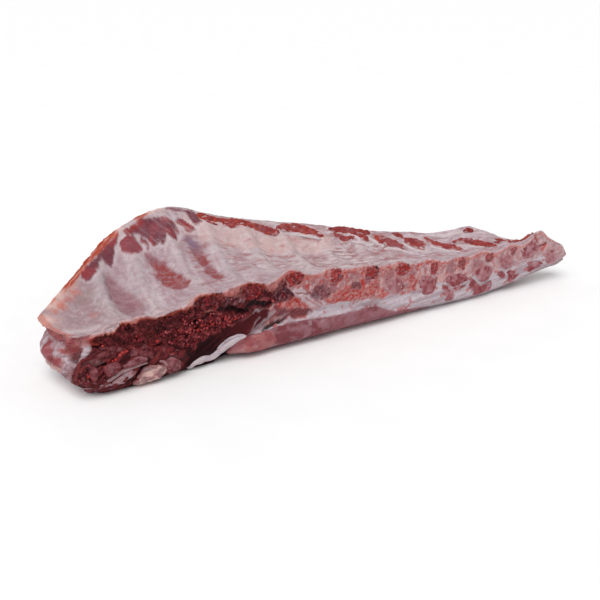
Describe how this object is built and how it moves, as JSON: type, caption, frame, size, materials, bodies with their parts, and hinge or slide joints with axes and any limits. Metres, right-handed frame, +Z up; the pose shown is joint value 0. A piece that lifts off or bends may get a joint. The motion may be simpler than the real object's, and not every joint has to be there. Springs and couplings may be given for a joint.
{
  "type": "rack of ribs",
  "caption": "Raw rack of pork ribs, split down the backbone, lying with the inside of the rib cage up: a long wedge of meat and fat with sawn vertebrae along one side and rib bones across it.",
  "frame": {"origin": "under the middle of the rack, on the surface that it rests on", "axes": "+X from the neck end to the loin end, -Y out of the sawn backbone side, +Z up, out of the inside of the rib cage"},
  "size_m": [0.532, 0.1866, 0.087],
  "materials": {
    "meat": "raw lean and fat under a thin wet membrane, satin to glossy",
    "bone": "sawn spongy bone with red marrow, matt to satin"
  },
  "bodies": {
    "root": {"vertebra_01": "bone", "vertebra_02": "bone", "vertebra_03": "bone", "vertebra_04": "bone", "vertebra_05": "bone", "vertebra_06": "bone", "vertebra_07": "bone", "vertebra_08": "bone", "vertebra_09": "bone", "vertebra_10": "bone", "vertebra_11": "bone", "vertebra_12": "bone", "vertebra_13": "bone", "rib_01": "bone", "rib_02": "bone", "rib_03": "bone", "rib_04": "bone", "rib_05": "bone", "rib_06": "bone", "rib_07": "bone", "rib_08": "bone", "rib_09": "bone", "rib_10": "bone", "rib_11": "bone", "rib_12": "bone", "rib_13": "bone", "meat": "meat"}
  },
  "joints": []
}
